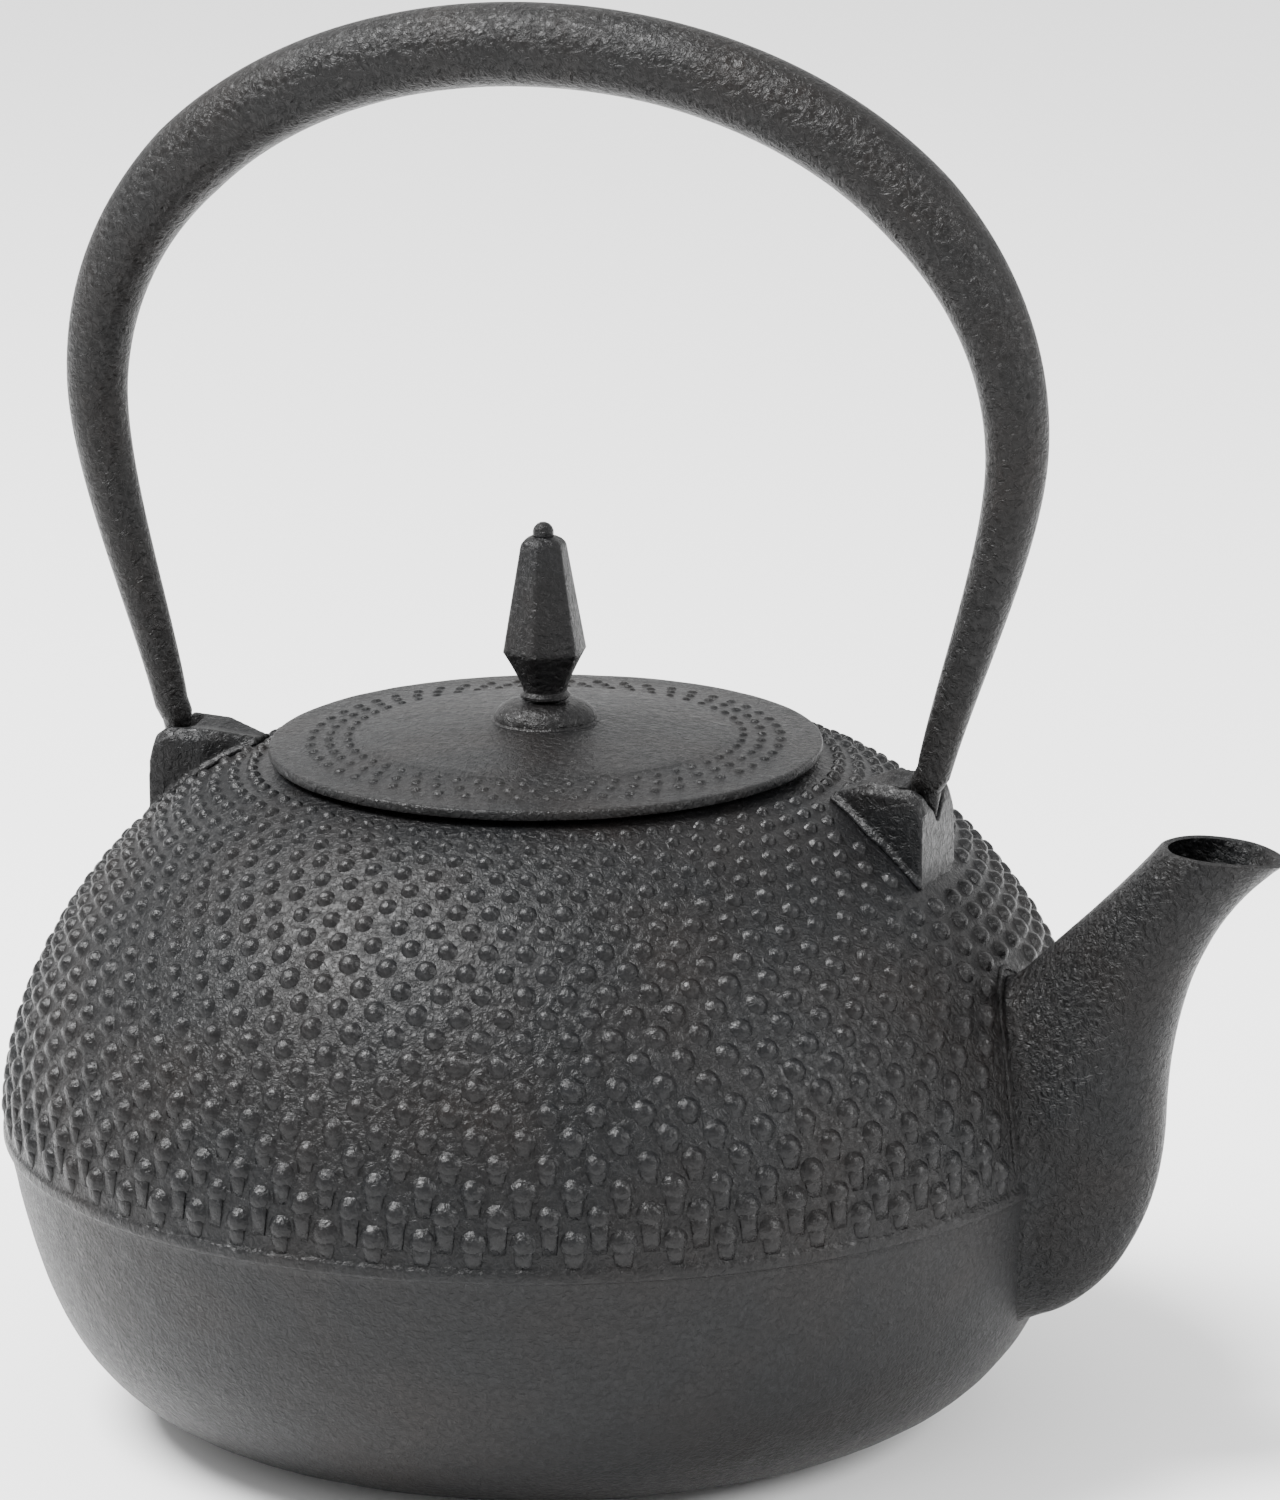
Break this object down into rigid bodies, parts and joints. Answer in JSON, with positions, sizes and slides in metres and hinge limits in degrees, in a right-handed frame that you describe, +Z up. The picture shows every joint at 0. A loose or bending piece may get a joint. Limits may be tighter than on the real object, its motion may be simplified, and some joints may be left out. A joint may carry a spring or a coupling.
{
  "type": "cast iron teapot",
  "caption": "Round cast iron teapot with a studded dome, fused spout, drop-in lid with a hexagonal knob, and a bail handle that rocks in its lugs.",
  "frame": {"origin": "centre of the flat base that the pot stands on", "axes": "+Z up, +X towards the spout, +Y to the side; the handle stands in the XZ plane"},
  "size_m": [0.2124, 0.176, 0.2288],
  "materials": {
    "pot_iron": "satin charcoal, fine orange-peel casting skin",
    "lid_iron": "satin charcoal, fine orange-peel casting skin",
    "handle_iron": "satin charcoal, pebbled casting skin",
    "knob_iron": "satin charcoal, slightly smoother than the pot"
  },
  "bodies": {
    "pot": {"pot_bowl": "pot_iron", "pot_dome": "pot_iron", "spout": "pot_iron", "spout_side_lug": "pot_iron", "rear_lug": "pot_iron"},
    "lid": {"lid": "lid_iron", "knob_seat": "knob_iron", "rivet_washer": "knob_iron", "knob": "knob_iron"},
    "handle": {"handle": "handle_iron"}
  },
  "joints": [
    {"name": "lid_lift", "type": "slide", "parent": "pot", "child": "lid", "axis": [0, 0, 1], "range_m": [0, 0.06]},
    {"name": "handle_rock", "type": "hinge", "parent": "pot", "child": "handle", "pos_m": [0, 0, 0.10427], "axis": [1, 0, 0], "range_deg": [-20, 20]}
  ]
}
